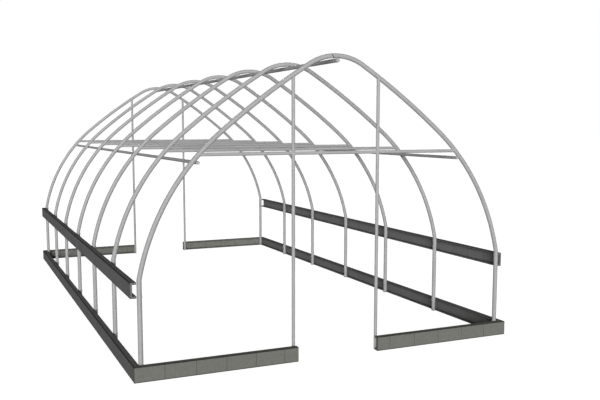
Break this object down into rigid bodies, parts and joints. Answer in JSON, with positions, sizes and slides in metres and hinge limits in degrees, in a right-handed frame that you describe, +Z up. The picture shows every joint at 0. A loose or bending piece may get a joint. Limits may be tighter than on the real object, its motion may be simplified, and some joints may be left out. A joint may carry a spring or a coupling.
{
  "type": "gothic arch greenhouse frame",
  "caption": "Bare gothic arch greenhouse frame: bent tube hoops with ties and purlins on dark channel base and hip rails, open doorways at both ends.",
  "frame": {"origin": "on the ground under the middle of the frame", "axes": "+Z up, +Y along the frame from the front doorway to the back one, +X to the right seen from the front"},
  "size_m": [4.2418, 7.4876, 3.0851],
  "materials": {
    "tube": "galvanised, satin light grey",
    "rail": "dull dark grey, faintly mottled"
  },
  "bodies": {
    "root": {"hoop_1_left": "tube", "hoop_1_right": "tube", "hoop_2_left": "tube", "hoop_2_right": "tube", "hoop_3_left": "tube", "hoop_3_right": "tube", "hoop_4_left": "tube", "hoop_4_right": "tube", "hoop_5_left": "tube", "hoop_5_right": "tube", "hoop_6_left": "tube", "hoop_6_right": "tube", "hoop_7_left": "tube", "hoop_7_right": "tube", "left_purlin": "tube", "right_purlin": "tube", "ridge_purlin": "tube", "tie_2": "tube", "tie_3": "tube", "tie_4": "tube", "tie_5": "tube", "tie_6": "tube", "front_left_tie": "tube", "front_middle_tie": "tube", "front_right_tie": "tube", "back_left_tie": "tube", "back_middle_tie": "tube", "back_right_tie": "tube", "front_left_post": "tube", "front_right_post": "tube", "back_left_post": "tube", "back_right_post": "tube", "left_base_rail": "rail", "right_base_rail": "rail", "front_left_base_rail": "rail", "front_right_base_rail": "rail", "back_left_base_rail": "rail", "back_right_base_rail": "rail", "left_hip_rail": "rail", "right_hip_rail": "rail"}
  },
  "joints": []
}
